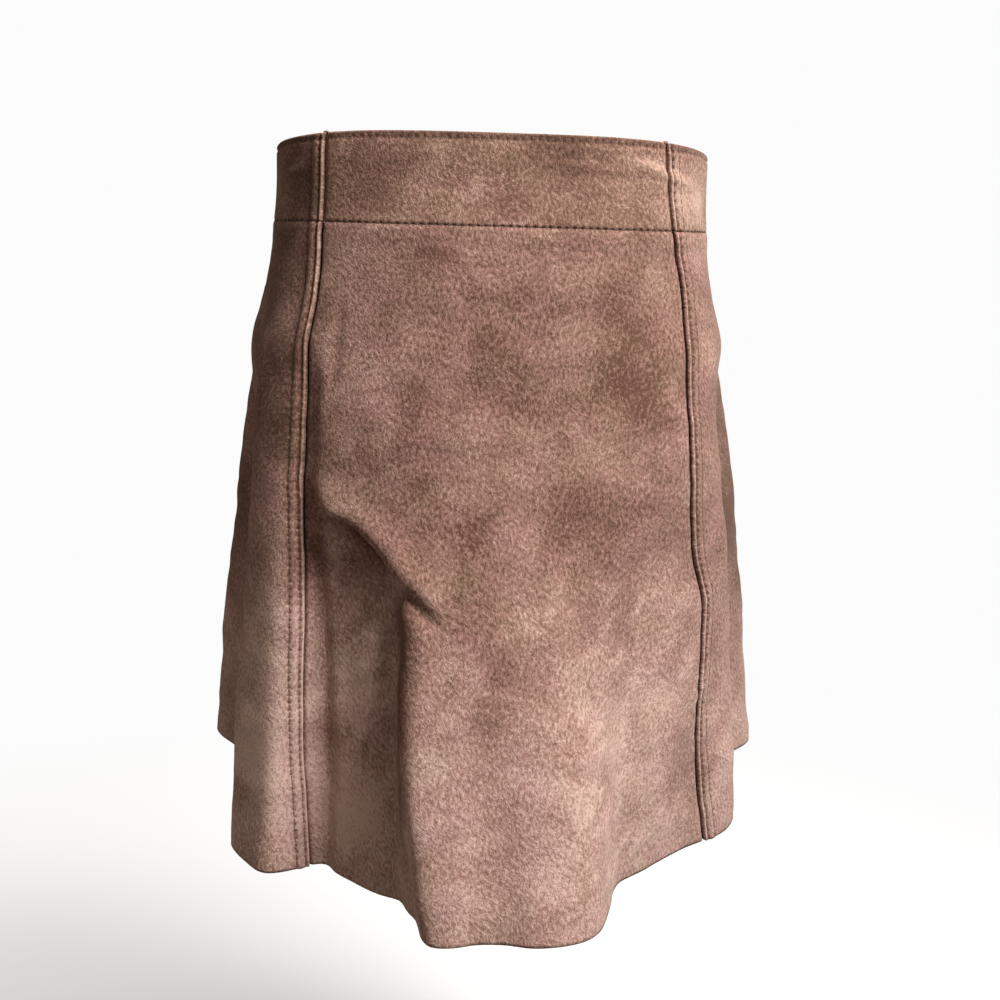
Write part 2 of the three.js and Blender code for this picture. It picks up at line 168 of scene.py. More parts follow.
# The sewn edges in profile: distance from the cut piece's end, height over the surface, and shade.
# A lapped edge is rolled, then puffs up between its two rows of stitching.
# The shade column is painted light: a painted highlight on the rolled edge, and painted shade in the dips at
# the rows of stitching and where an edge goes down under its neighbour.
EDGE_COLUMNS = ("place", "height", "shade")
EDGES = {name: named_columns(EDGE_COLUMNS, rows) for name, rows in {
    "lap": [
        (0, -1.5, -0.2), (0.3, 0.0, 0.1), (0.6, 0.75, 0.2), (1.0, 1.05, 0.28), (1.5, 0.95, 0.12),
        (2.1, 0.6, -0.1), (2.8, 0.25, -0.28), (3.4, 0.75, -0.08), (4.4, 1.15, 0.02), (5.6, 1.25, 0.03),
        (6.8, 1.1, 0.0), (7.8, 0.65, -0.06), (8.4, 0.15, -0.28), (9.1, 0.3, -0.05), (10.2, 0.1, 0),
        (12, 0, 0),
    ],
    "under": [
        (-2.4, -2.4, -0.4), (-0.4, -2.3, -0.4), (0.2, -2.0, -0.35), (0.8, -1.1, -0.2), (1.5, -0.4, -0.08),
        (2.6, -0.1, 0), (4.2, 0, 0),
    ],
    "zip": [
        (0, -1.3, -0.2), (0.3, -0.3, 0.0), (0.7, 0.1, 0.1), (1.3, 0.2, 0.1), (3, 0.15, 0), (4.9, 0.1, 0),
        (5.5, -0.3, -0.25), (6.1, 0.05, 0), (7.5, 0, 0),
    ],
}.items()}
ROWS_OF = {"lap": (2.8, 8.4), "zip": (5.5,), "under": ()}  # the rows of stitching, from the turned edge
PUCKER_WIDTH = 1.2  # the suede gathers this far to each side of a row

# The waist seam and the rim in profile, across the waistband and the top of the panels.
# Its shade is painted shade in the ditch of the waist seam.
SEAM_DITCH = named_columns(EDGE_COLUMNS, [
    (0, -0.45, -0.1), (0.35, -0.2, -0.05), (0.8, -0.03, 0), (1.5, 0.1, 0.03), (3, 0.1, 0.03), (6, 0, 0),
])
RIM_ROW = 2.9  # the row of stitching below the waist edge
RIM_DIP = 0.6
RIM_DIP_WIDTH = 0.7
# Painted shade along the top of the band, from the rim down to its row of stitching.
RIM_SHADE = -0.2
RIM_SHADE_WIDTH = 1.5
ALLOWANCE_END = 9.5  # the seam allowance under the top of the panels shows as a low step
ALLOWANCE_RISE = 0.75
ALLOWANCE_TOP_WIDTH = 1.5
ALLOWANCE_END_WIDTH = 3.5
ALLOWANCE_FAINT = 0.3  # it shows in full on the right of the front only, between these angles
ALLOWANCE_FROM = -14
ALLOWANCE_TO = 50
ALLOWANCE_TURN = 30

ZERO = np.zeros((1, 1))


def smooth(x):
    t = np.clip(x, 0, 1)
    return t * t * (3 - 2 * t)


def mix(low, high, share):
    return low + (high - low) * share


def wrapped(angle):
    return (angle + 180) % 360 - 180


def soft_step(x, softness):
    """A soft step from 0 to 1, centred where x is 0."""
    return 0.5 + 0.5 * np.tanh(2 * x / softness)


def through(places, values, at):
    """Values on a smooth curve through a table's rows."""
    steps = np.diff(places)
    secants = np.diff(values) / steps
    slopes = np.concatenate([
        secants[:1],
        (secants[:-1] * steps[1:] + secants[1:] * steps[:-1]) / (steps[1:] + steps[:-1]),
        secants[-1:],
    ])
    row = np.clip(np.searchsorted(places, at, side="right") - 1, 0, len(places) - 2)
    span = steps[row]
    t = np.clip((at - places[row]) / span, 0, 1)
    return (
        (1 + 2 * t) * (1 - t) ** 2 * values[row]
        + t * (1 - t) ** 2 * span * slopes[row]
        + t * t * (3 - 2 * t) * values[row + 1]
        + t * t * (t - 1) * span * slopes[row + 1]
    )


def curve(table, column, drop):
    """A column at these drops, on a smooth curve."""
    return through(table["drop"], table[column], drop)


def profile(table, column, place):
    """A column at these places, straight between the rows."""
    return np.interp(place, table["place"], table[column])


def fold_depth(angle, drop):
    depth = 0
    wall = curve(VALLEY_WALL, "angle", drop)
    spread = smooth((drop - WALL_SPREAD_START) / WALL_SPREAD_LENGTH)
    for fold in FOLDS:
        t = np.clip((drop - fold["start"]) / (FRONT_LENGTH - fold["start"]), 0, FOLD_LIMIT)
        moved = smooth(t / fold["settle"])
        low = mix(fold["top"][0], fold["hem"][0], moved)
        high = mix(fold["top"][1], fold["hem"][1], moved)
        low = wall + WALL_TOP * spread if fold["wall"] == "low" else low
        high = wall - WALL_FOOT * spread if fold["wall"] == "high" else high
        half = (high - low) / 2
        off = wrapped(angle - (low + high) / 2)
        width = soft_step(off + half, fold["soft"][0]) * soft_step(half - off, fold["soft"][1])
        depth = depth + fold["depth"] * smooth(t / fold["rise"]) * t ** fold["growth"] * width
    return depth


def wall_radius(angle, drop):
    across, along = np.sin(np.radians(angle)), np.cos(np.radians(angle))
    half, front, back, square = (curve(SECTIONS, name, drop) for name in ("half", "front", "back", "square"))
    depth = np.where(along >= 0, front, back)
    reach = np.abs(across / half) ** square + np.abs(along / depth) ** square
    return reach ** (-1 / square) + fold_depth(angle, drop)


def surface_point(angle, drop):
    angle, drop = np.broadcast_arrays(np.asarray(angle, float), np.asarray(drop, float))
    radius = wall_radius(angle, drop)
    return np.stack([radius * np.sin(np.radians(angle)), -radius * np.cos(np.radians(angle)), -drop], -1)


SMALL_TURN = 0.05
SMALL_DROP = 0.1


def surface_normal(angle, drop):
    across = surface_point(angle + SMALL_TURN, drop) - surface_point(angle - SMALL_TURN, drop)
    down = surface_point(angle, drop + SMALL_DROP) - surface_point(angle, drop - SMALL_DROP)
    normal = np.cross(down, across)
    return normal / np.linalg.norm(normal, axis=-1, keepdims=True)


def edge_drop(angle):
    return SIDE_DIP * np.sin(np.radians(angle)) ** SIDE_DIP_POWER


def hem_drop(angle):
    middle = (FRONT_LENGTH + BACK_LENGTH) / 2
    return middle + (FRONT_LENGTH - BACK_LENGTH) / 2 * np.cos(np.radians(angle))


# Creases and unevenness, which the part's own solids leave to this scene

# Creases that the photograph shows, as paths of (angle, drop). depth is over the crease's middle, and lip
# lifts the side on its right and lowers the side on its left, as seen from outside along the path.
# shade paints each crease darker or lighter: painted shade in the dented ones and under the fold's lip, and a
# painted highlight on the raised ones.
CREASES = named_rows(("name", "width", "depth", "lip", "shade", "fade", "path"), [
    ("fold lip", 6, 0, -2.6, 0, 0.2,
     [(-45, 186), (-40.8, 202), (-35, 207), (-30.8, 213), (-26.2, 222), (-21.8, 233), (-15.8, 243),
      (-9.8, 258)]),
    ("fold lip's end", 3.2, -1.6, -0.8, -0.1, 0.35, [(-21.8, 236), (-15.8, 246), (-9.4, 260)]),
    ("wedge", 8, 0, -3.2, 0, 0.25, [(-22, 240), (-20.6, 262), (-20, 300), (-19, 345), (-17, 395)]),
    # Painted shadow cast by the fold's lip onto the valley below it.
    ("crushed nap under the lip", 5, 0, 0, -0.36, 0.2,
     [(-46, 188), (-41, 205), (-34, 213), (-28, 223), (-23.5, 236)]),
    # Painted shade on the front ridge's steep wall, which faces away from the light.
    ("crushed nap on the wall", 11, 0, 0, -0.66, 0.3,
     [(-22, 238), (-20, 258), (-19, 300), (-18, 345), (-17, 392)]),
    # Painted shade where the front panel turns away into the seam.
    ("crushed nap beside the seam", 5, 0, 0, -0.14, 0.3,
     [(-47, 196), (-45.4, 235), (-44.4, 290), (-43, 370)]),
    ("valley crease", 6, -1.3, 0, -0.05, 0.35, [(-37, 236), (-35.5, 262), (-37, 300), (-38, 340)]),
    ("valley vein", 3.4, -0.9, 0, -0.08, 0.4, [(-43, 262), (-38, 246), (-33.5, 238)]),
    ("valley vein", 3.2, -0.8, 0, -0.06, 0.4, [(-41, 285), (-35, 268), (-30.5, 262)]),
    ("valley vein", 3.4, -0.8, 0, -0.06, 0.4, [(-40, 318), (-34, 300), (-29, 290)]),
    ("fold beside the seam", 3.6, -1.1, 0, -0.1, 0.35,
     [(-43.6, 78), (-42.4, 105), (-42.2, 130), (-43.5, 158)]),
    ("clip mark left", 2.2, 0.5, 0.5, 0.05, 0.3, [(-68, 22), (-61, 20), (-55.6, 15)]),
    ("clip mark right", 2.4, 0.7, 0.7, 0.1, 0.2,
     [(38.5, 11), (43.5, 13), (49.2, 17), (54.5, 20), (64, 24)]),
    ("band groove", 3, -0.7, 0, -0.06, 0.35, [(12, 12), (23, 11.6), (31, 12), (39, 14)]),
    ("band groove", 3, -0.7, 0, -0.07, 0.3, [(12, 20.5), (22, 20), (33, 20.5), (47, 21.6)]),
    ("band crease", 1.8, -0.35, 0, -0.05, 0.3, [(1.6, 3), (1.9, 18), (1.4, 34), (1.8, 46)]),
    ("facet vein", 2.2, 0.7, 0, 0.1, 0.4, [(34.5, 305), (37.8, 293)]),
    ("facet vein", 2.2, 0.6, 0, 0.08, 0.4, [(23.5, 288), (29, 281), (34.5, 283)]),
    ("facet vein", 2.4, 0.6, 0, 0.08, 0.4, [(42.5, 276), (46.5, 269), (51, 268)]),
    ("facet vein", 2.4, 0.6, 0, 0.08, 0.4, [(17.6, 330), (22, 325), (27, 324)]),
    ("facet fold", 3.4, -0.9, 0, -0.05, 0.4, [(29, 350), (28, 368), (26.6, 392), (26.4, 408)]),
])

# Fields of smaller creases, scattered unevenly. lean is from the vertical, and positive leans to the right.
# light is how much lighter the nap is made along the crease.
CREASE_FIELDS = named_rows(("name", "count", "angle", "drop", "lean", "length", "width", "depth", "light"), [
    ("facet", 46, (12, 60), (235, 405), (15, 60), (9, 34), (1.8, 3.2), (-0.5, 0.75), 0),
    ("valley", 26, (-44, -22), (215, 400), (-10, 45), (10, 36), (2, 3.6), (-1.0, 0.5), 0),
    ("front", 30, (-40, 46), (70, 240), (-50, 60), (14, 60), (4, 9), (-0.5, 0.35), 0),
    ("front ridge", 22, (-13, 20), (265, 408), (-20, 40), (10, 44), (2, 4.5), (-0.5, 0.4), 0),
    ("left side", 40, (-128, -54), (60, 400), (-35, 35), (16, 70), (2.4, 7), (-0.8, 0.5), 0),
    ("right side", 40, (58, 126), (60, 400), (-35, 35), (16, 70), (2.4, 7), (-0.8, 0.5), 0),
    ("seat left", 34, (-176, -134), (62, 392), (-70, 30), (16, 64), (2.6, 7), (-0.9, 0.5), 0),
    ("seat right", 34, (136, 176), (62, 392), (-30, 70), (16, 64), (2.6, 7), (-0.9, 0.5), 0),
    ("band", 44, (-178, 178), (9, 43), (50, 130), (10, 30), (2, 4), (-0.35, 0.25), 0),
    ("facet veins", 70, (12, 58), (246, 405), (20, 62), (7, 26), (1.5, 2.4), (0.2, 0.7), 0.09),
    ("valley veins", 26, (-43, -24), (225, 400), (5, 50), (7, 24), (1.5, 2.4), (0.1, 0.6), 0.06),
    ("hidden veins", 90, (84, 276), (60, 400), (-60, 60), (7, 26), (1.5, 2.4), (0.1, 0.6), 0.06),
])
CREASE_SEED = 20
CREASE_STEPS = 12
CREASE_FADE = 0.45
CREASE_BEND = 0.25  # as a share of half its length
# Scattered creases get painted shade in their dents and a painted highlight where raised, this much per
# millimetre of depth.
CREASE_SHADE = 0.13  # per millimetre of depth
CREASE_REACH = 3.2  # in widths

# Patches of nap, part the hide's own brushed tone and part painted light and shade on folds that catch or
# lose the light: where, how wide, and how much lighter or darker.
PATCH_COLUMNS = ("angle", "drop", "size", "shade")
PATCHES = named_columns(PATCH_COLUMNS, [
    (38, 130, 26, -0.24), (33, 108, 15, -0.1), (-20, 74, 13, -0.12), (-9, 92, 11, -0.1),
    (1, 107, 12, -0.13), (10, 122, 13, -0.12), (17, 140, 14, -0.12), (-16, 192, 22, -0.16),
    (24, 206, 22, -0.2), (25, 228, 15, -0.1), (1, 288, 16, -0.2), (-58, 118, 30, -0.3),
    (-66, 62, 26, -0.2), (-64, 20, 24, -0.2), (-51, 160, 14, -0.2), (-42, 186, 13, -0.14),
    (-41, 212, 11, 0.26), (-38, 234, 16, 0.24), (-29, 262, 12, 0.18), (-42, 96, 13, 0.12),
    (-40.5, 131, 20, 0.2), (-44, 64, 14, 0.14), (-10, 38, 9, 0.22), (-3, 33, 8, 0.12),
    (-32, 26, 15, -0.2), (-47, 12, 12, -0.14), (16, 13, 12, -0.16), (58, 26, 17, 0.42),
    (41, 28, 14, 0.16), (63, 70, 18, 0.12), (37, 316, 32, 0.1), (12, 372, 36, 0.07), (-52, 262, 30, 0.26),
    (-50, 345, 34, 0.22), (-58, 300, 30, 0.1), (-58, 208, 20, 0.2), (-36, 300, 24, 0.32),
    (-34, 262, 15, 0.2), (-34, 374, 26, 0.22), (-13, 284, 15, 0.2), (-15, 330, 14, 0.12),
    (-4, 366, 17, -0.12), (55, 332, 24, -0.16), (58, 372, 20, -0.12), (34, 80, 15, -0.08),
    (-26, 150, 15, -0.12), (-30, 172, 12, -0.08), (8, 60, 12, 0.07), (22, 66, 11, 0.06),
    (-8, 160, 14, 0.06), (8, 200, 15, 0.05), (45, 160, 14, 0.1), (47, 205, 13, 0.08), (-8, 232, 16, -0.1),
    (10, 258, 14, 0.08), (46, 262, 17, 0.12), (22, 300, 16, 0.1), (45, 352, 15, 0.1),
    (30, 372, 12, -0.06), (-10, 395, 14, -0.07), (-45, 392, 14, 0.08), (-60, 378, 14, -0.1),
    (108, 240, 66, -0.42), (-113, 250, 60, -0.26),
])

# Brushed patches on the sides and the back, which the photograph doesn't show.
HIDDEN_PATCHES = {"count": 70, "low": 84, "high": 276, "size": (9, 34), "shade": (-0.2, 0.17), "seed": 31}

# How the shade changes from the waist to the hem: darker below the band and lighter towards the hem, partly
# the nap's own tone and partly painted light where the flaring panels face up to the light.
SHADE_BY_DROP = named_columns(("place", "shade"), [
    (0, 0), (47.9, 0), (48.1, -0.14), (150, -0.16), (225, -0.13), (300, 0.05), (360, 0.13), (440, 0.13),
])

# Soft unevenness of the hide, as slow waves through space: wavelengths and rough height.
WAVE_SETS = named_rows(("count", "long", "short", "height", "seed"), [
    (26, 95, 34, 0.55, 5),
    (26, 22, 10, 0.1, 6),
])


def crease_line(path):
    knots = np.arange(len(path), dtype=float)
    at = np.linspace(0, len(path) - 1, CREASE_STEPS)
    angle, drop = np.array(path, float).T
    if len(path) == 2:
        return surface_point(np.interp(at, knots, angle), np.interp(at, knots, drop))
    return surface_point(through(knots, angle, at), through(knots, drop, at))


def scattered_creases():
    chance = np.random.default_rng(CREASE_SEED)
    made = []
    for field in CREASE_FIELDS:
        for _ in range(field["count"]):
            angle = chance.uniform(*field["angle"])
            drop = chance.uniform(*field["drop"])
            lean = math.radians(chance.uniform(*field["lean"]))
            half = chance.uniform(*field["length"]) / 2
            depth = chance.uniform(*field["depth"])
            degree = math.radians(float(wall_radius(np.float64(angle), np.float64(drop))))
            bend = chance.uniform(-CREASE_BEND, CREASE_BEND) * half
            steps = [(-half, 0), (0, bend), (half, 0)]
            path = [
                (
                    angle + (along * math.sin(lean) + out * math.cos(lean)) / degree,
                    drop - along * math.cos(lean) + out * math.sin(lean),
                )
                for along, out in steps
            ]
            made.append({"path": path, "width": chance.uniform(*field["width"]), "depth": depth, "lip": 0,
                         "shade": CREASE_SHADE * depth + field["light"], "fade": CREASE_FADE})
    return made


ALL_CREASES = [{**crease, "line": crease_line(crease["path"])} for crease in CREASES + scattered_creases()]


def crease_effect(points, normals):
    """Height and shade of every crease at these points on the surface."""
    height, shade = np.zeros(len(points)), np.zeros(len(points))
    for crease in ALL_CREASES:
        line, width = crease["line"], crease["width"]
        reach = CREASE_REACH * width
        near = np.flatnonzero(((points > line.min(0) - reach) & (points < line.max(0) + reach)).all(1))
        if not len(near):
            continue
        place, outward = points[near], normals[near]
        nearest = np.full(len(near), np.inf)
        side, along = np.ones(len(near)), np.zeros(len(near))
        for step in range(len(line) - 1):
            run = line[step + 1] - line[step]
            t = np.clip((place - line[step]) @ run / (run @ run), 0, 1)
            off = place - line[step] - t[:, None] * run
            distance = np.linalg.norm(off, axis=1)
            closer = distance < nearest
            nearest[closer] = distance[closer]
            along[closer] = ((step + t) / (len(line) - 1))[closer]
            turn = (np.cross(run, off) * outward).sum(1)
            side[closer] = -np.sign(turn)[closer]
        ends = smooth(along / crease["fade"]) * smooth((1 - along) / crease["fade"])
        x = nearest / width
        bump = np.exp(-x * x)
        height[near] += ends * (crease["depth"] * bump + crease["lip"] * side * x * np.exp((1 - x * x) / 2))
        shade[near] += ends * crease["shade"] * bump
    return height, shade


def random_heading(chance, waves):
    """A wave's direction, as long as its radians per millimetre."""
    heading = chance.normal(size=3)
    return heading * (2 * math.pi / (np.linalg.norm(heading) * chance.uniform(waves["short"], waves["long"])))


def wave_height(points):
    height = np.zeros(len(points))
    for waves in WAVE_SETS:
        chance = np.random.default_rng(waves["seed"])
        share = waves["height"] * math.sqrt(2 / waves["count"])
        for _ in range(waves["count"]):
            heading = random_heading(chance, waves)
            height += share * np.sin(points @ heading + chance.uniform(0, 2 * math.pi))
    return height


def hidden_patches():
    chance = np.random.default_rng(HIDDEN_PATCHES["seed"])
    rows = []
    for _ in range(HIDDEN_PATCHES["count"]):
        angle = chance.uniform(HIDDEN_PATCHES["low"], HIDDEN_PATCHES["high"])
        drop = chance.uniform(0, FRONT_LENGTH)
        rows.append((wrapped(angle), drop, chance.uniform(*HIDDEN_PATCHES["size"]),
                     chance.uniform(*HIDDEN_PATCHES["shade"])))
    return named_columns(PATCH_COLUMNS, rows)


ALL_PATCHES = {name: np.concatenate([PATCHES[name], more]) for name, more in hidden_patches().items()}
PATCH_POINTS = surface_point(ALL_PATCHES["angle"], ALL_PATCHES["drop"])


# The patches' outlines are ragged: points are stirred by these waves before they are measured.
RAGGED = {"count": 20, "long": 64, "short": 13, "reach": 6.5, "seed": 41}


def stirred(points):
    chance = np.random.default_rng(RAGGED["seed"])
    moved = points.copy()
    share = RAGGED["reach"] * math.sqrt(2 / RAGGED["count"])
    for _ in range(RAGGED["count"]):
        heading = random_heading(chance, RAGGED)
        shove = share * chance.normal(size=3)
        moved += shove * np.sin(points @ heading + chance.uniform(0, 2 * math.pi))[:, None]
    return moved


def patch_shade(points):
    shade = np.zeros(len(points))
    points = stirred(points)
    for centre, size, amount in zip(PATCH_POINTS, ALL_PATCHES["size"], ALL_PATCHES["shade"]):
        away = np.linalg.norm(points - centre, axis=1) / size
        shade += amount * np.exp(-away * away)
    return shade


BAND_CALM = 0.35  # the double waistband is this much as uneven as the panels
CALM_WIDTH = 20


def dressed(angle, drop, height, offset=0.0):
    """The finished surface's points, normals and shade. height is the sewing's relief, offset a layer's."""
    shape = np.broadcast(angle, drop).shape
    given = (np.broadcast_to(part, shape).ravel() for part in (angle, drop, height, offset))
    flat_angle, flat_drop, sewn, layer = given
    points = surface_point(flat_angle, flat_drop)
    normals = surface_normal(flat_angle, flat_drop)
    crease, shade = crease_effect(points, normals)
    below = flat_drop - BAND_DEPTH
    calm = mix(BAND_CALM, 1, smooth(below / CALM_WIDTH))
    allowance = ALLOWANCE_RISE * smooth(below / ALLOWANCE_TOP_WIDTH)
    allowance *= 1 - smooth((below - ALLOWANCE_END + ALLOWANCE_TOP_WIDTH) / ALLOWANCE_END_WIDTH)
    clear = smooth((flat_angle - ALLOWANCE_FROM) / ALLOWANCE_TURN)
    clear *= 1 - smooth((flat_angle - ALLOWANCE_TO) / ALLOWANCE_TURN)
    allowance *= mix(ALLOWANCE_FAINT, 1, clear)
    relief = crease + calm * wave_height(points) + allowance
    relief += sewn + layer
    shade = shade + patch_shade(points) + profile(SHADE_BY_DROP, "shade", flat_drop)
    points = points + relief[:, None] * normals
    return points.reshape(*shape, 3), normals.reshape(*shape, 3), shade.reshape(shape)


# Laying the pieces out

RING_STEPS = 360
RING_MARGIN = 5  # degrees past each seam
PITCH = 1.9  # between rows and columns of the panels' meshes


def end_clearance(seam, drop):
    """What a piece keeps clear of its end: the zip's opening at centre back, and the seam's gap elsewhere."""
    if not seam.startswith("centre_back"):
        return np.full(np.shape(drop), SEAM_GAP / 2)
    return mix(ZIP_OPENING / 2, SHUT_SEAM, smooth((drop - ZIP_LENGTH) / ZIP_OPENING_END))


def measured_rings(piece, drops):
    """Along each ring of a piece: angles, lengths over the cloth from its start, and its whole length."""
    low, high = (curve(SEAMS[piece[end]], "angle", drops(ZERO)[:, 0]) for end in ("from", "to"))
    share = np.linspace(0, 1, RING_STEPS)
    angles = (low - RING_MARGIN)[:, None] + (high - low + 2 * RING_MARGIN)[:, None] * share
    points = surface_point(angles, drops(angles))
    steps = np.linalg.norm(np.diff(points, axis=1), axis=2)
    lengths = np.concatenate([np.zeros((len(low), 1)), np.cumsum(steps, axis=1)], axis=1)
    starts = np.array([np.interp(a, row, run) for a, row, run in zip(low, angles, lengths)])
    ends = np.array([np.interp(a, row, run) for a, row, run in zip(high, angles, lengths)])
    starts += end_clearance(piece["from"], drops(low[:, None])[:, 0])
    ends -= end_clearance(piece["to"], drops(high[:, None])[:, 0])
    return angles, lengths - starts[:, None], ends - starts


def angles_at(rings, places):
    angles, lengths, _ = rings
    return np.array([np.interp(place, run, row) for place, run, row in zip(places, lengths, angles)])


def column_places(piece, lengths, pitch):
    starts = EDGES[piece["edges"][0]]["place"]
    ends = EDGES[piece["edges"][1]]["place"][::-1]
    count = int(round((lengths.mean() - starts[-1] - ends[0]) / pitch))
    share = np.arange(1, count) / count
    return np.array([
        np.concatenate([starts, mix(starts[-1], length - ends[0], share), length - ends])
        for length in lengths
    ])


def near_row(away):
    """1 on a row of stitching, fading to 0 beside it."""
    return np.exp(-((away / PUCKER_WIDTH) ** 2))


def sewn_profile(piece, places, lengths):
    """Height and shade of a piece's two sewn ends, and where the suede puckers along their rows."""
    height, shade, pucker = np.zeros((3, *places.shape))
    for kind, away in zip(piece["edges"], (places, lengths[:, None] - places)):
        edge = EDGES[kind]
        height += profile(edge, "height", away)
        shade += profile(edge, "shade", away)
        for row in ROWS_OF[kind]:
            pucker += near_row(away - row)
    return height, shade, pucker


def laid_out(piece, drops, pitch):
    """A piece's grid: angles, cloth coordinates across it, and its sewn ends' height, shade and pucker."""
    rings = measured_rings(piece, drops)
    places = column_places(piece, rings[2], pitch)
    return angles_at(rings, places), places - rings[2][:, None] / 2, *sewn_profile(piece, places, rings[2])


# Meshes


def placed(name, data, *materials):
    """A new object in the scene, at the origin, with its materials."""
    for material in materials:
        data.materials.append(material)
    obj = bpy.data.objects.new(name, data)
    bpy.context.scene.collection.objects.link(obj)
    return obj


def mesh_from(work, name):
    mesh = bpy.data.meshes.new(name)
    work.to_mesh(mesh)
    work.free()
    return mesh


def shade_smooth(mesh):
    mesh.polygons.foreach_set("use_smooth", np.ones(len(mesh.polygons), bool))


def cloth_mesh(name, points, across, down, **masks):
    """A sheet over a grid of points in millimetres, with its cloth coordinates and its masks stored on it."""
    rows, columns = across.shape
    sheet = bmesh.new()
    bmesh.ops.create_grid(sheet, x_segments=columns - 1, y_segments=rows - 1, size=1)
    mesh = mesh_from(sheet, name)
    corners = np.empty(3 * len(mesh.vertices))
    mesh.vertices.foreach_get("co", corners)
    corners = corners.reshape(-1, 3)
    column = np.rint((corners[:, 0] + 1) / 2 * (columns - 1)).astype(int)
    row = np.rint((1 - corners[:, 1]) / 2 * (rows - 1)).astype(int)
    mesh.vertices.foreach_set("co", (points[row, column] * MM).ravel())
    for mask, values in masks.items():
        mesh.attributes.new(mask, "FLOAT", "POINT").data.foreach_set("value", values[row, column])
    users = np.empty(len(mesh.loops), int)
    mesh.loops.foreach_get("vertex_index", users)
    cloth = np.stack([across[row, column], -down[row, column]], -1) * MM
    mesh.uv_layers.new(name="cloth").data.foreach_set("uv", cloth[users].ravel())
    shade_smooth(mesh)
    mesh.update()
    return mesh


def walled(mesh, wall, materials):
    """A sheet with a wall behind it. The materials are for its outside, its inside and its cut edges."""
    obj = placed(mesh.name, mesh, *materials)
    solid = obj.modifiers.new("wall", "SOLIDIFY")
    solid.thickness = wall * MM
    solid.offset = -1
    solid.material_offset = 1
    solid.material_offset_rim = 2
    return obj


TOP_ROWS = SEAM_DITCH["place"][:-1]
NOMINAL_LENGTH = FRONT_LENGTH - BAND_DEPTH - SEAM_GAP / 2
HEM_SHADE = -0.12
HEM_SHADE_WIDTH = 2.5
EVEN_ROWS_START = 4  # below the waist seam's own rows


def panel_drop(angle, down):
    share = down / NOMINAL_LENGTH
    return mix(BAND_DEPTH + SEAM_GAP / 2, hem_drop(angle), share)


def make_panel(piece, materials):
    rows = int(round((NOMINAL_LENGTH - EVEN_ROWS_START) / PITCH))
    down = np.concatenate([TOP_ROWS, mix(EVEN_ROWS_START, NOMINAL_LENGTH, np.arange(rows + 1) / rows)])
    grid = laid_out(piece, lambda angle: panel_drop(angle, down[:, None]), PITCH)
    angle, across, height, shade, pucker = grid
    height += profile(SEAM_DITCH, "height", down)[:, None]
    shade += profile(SEAM_DITCH, "shade", down)[:, None]
    shade += HEM_SHADE * smooth(1 - (NOMINAL_LENGTH - down) / HEM_SHADE_WIDTH)[:, None]
    points, _, more = dressed(angle, panel_drop(angle, down[:, None]), height)
    down = down[:, None] + 0 * across
    mesh = cloth_mesh(f"{piece['name']}_panel_suede", points, across, down,
                      shade=shade + more, pucker=pucker, cross_pucker=near_row(down))
    panel = walled(mesh, PANEL_WALL, materials)
    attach(panel, "root")
    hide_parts(f"{piece['name']}_panel")
    return panel


# The waistband is folded over at the waist edge: down the outside, and up the inside.
BAND_PITCH = 1.7
BAND_SKIN = 1.1
BAND_ROUND = BAND_WALL / 2
BAND_ROUND_STEPS = 8
BAND_INSIDE_ROWS = 12
BAND_OUTSIDE_ROWS = 26
BAND_ROW_CLEARANCE = 0.03  # share of the way down that the even rows keep clear of the seam's own rows


def band_section():
    """Round the band's section from the inside's lower end: share of the way down, roundness and offset."""
    inside = [(share, 0.0, -BAND_WALL) for share in np.linspace(1, 0, BAND_INSIDE_ROWS)]
    turns = np.linspace(math.pi, 0, BAND_ROUND_STEPS + 1)[1:-1]
    rim = [(0.0, BAND_ROUND * math.sin(t), BAND_ROUND * (math.cos(t) - 1)) for t in turns]
    ditch = 1 - TOP_ROWS[::-1] / (BAND_DEPTH - BAND_ROUND)
    even = np.linspace(0, ditch[0] - BAND_ROW_CLEARANCE, BAND_OUTSIDE_ROWS)
    outside = [(share, 0.0, 0.0) for share in [*even, *ditch]]
    return np.array(inside + rim + outside)


def band_drop(angle, share, lift=0):
    return mix(edge_drop(angle) + BAND_ROUND, BAND_DEPTH - SEAM_GAP / 2, share) - lift


def make_band(piece, materials):
    share, lift, offset = band_section().T[:, :, None]
    grid = laid_out(piece, lambda angle: band_drop(angle, share, lift), BAND_PITCH)
    angle, across, height, shade, pucker = grid
    drop = band_drop(angle, share, lift)
    outside = smooth(1 + offset / BAND_ROUND)
    from_seam = BAND_DEPTH - SEAM_GAP / 2 - drop
    height += profile(SEAM_DITCH, "height", from_seam)
    shade += profile(SEAM_DITCH, "shade", from_seam)
    from_rim = drop - edge_drop(angle)
    height -= RIM_DIP * np.exp(-((from_rim - RIM_ROW) / RIM_DIP_WIDTH) ** 2)
    shade += RIM_SHADE * (1 - smooth((from_rim - RIM_ROW) / RIM_SHADE_WIDTH))
    points, _, more = dressed(angle, drop, height * outside, offset)
    mesh = cloth_mesh(f"waistband_{piece['name']}_suede", points, across, mix(-from_rim, from_rim, outside),
                      shade=(shade + more) * outside, pucker=pucker * outside,
                      cross_pucker=(near_row(from_rim - RIM_ROW) + near_row(from_seam)) * outside)
    band = walled(mesh, BAND_SKIN, materials)
    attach(band, "root")
    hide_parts(f"waistband_{piece['name']}")
    return band


# Stitches

STITCH_PITCH = 4.3
STITCH_LENGTH = 3.2
STITCH_WIDTH = 0.8
STITCH_HEIGHT = 0.6
STITCH_SINK = 0.12
STITCH_SEGMENTS = 6
STITCH_RINGS = 5
PATH_STEPS = 260
PATH_TOP = 1  # the rows down a panel keep this clear of its top and its hem
PATH_BOTTOM = 1.5
PATH_SIDE = 2  # the rows across a piece keep this clear of its ends
BAND_PATH = (0.06, 0.98)  # from here to here, as shares of the way down the waistband
SEAM_ROW_RISE = 0.2


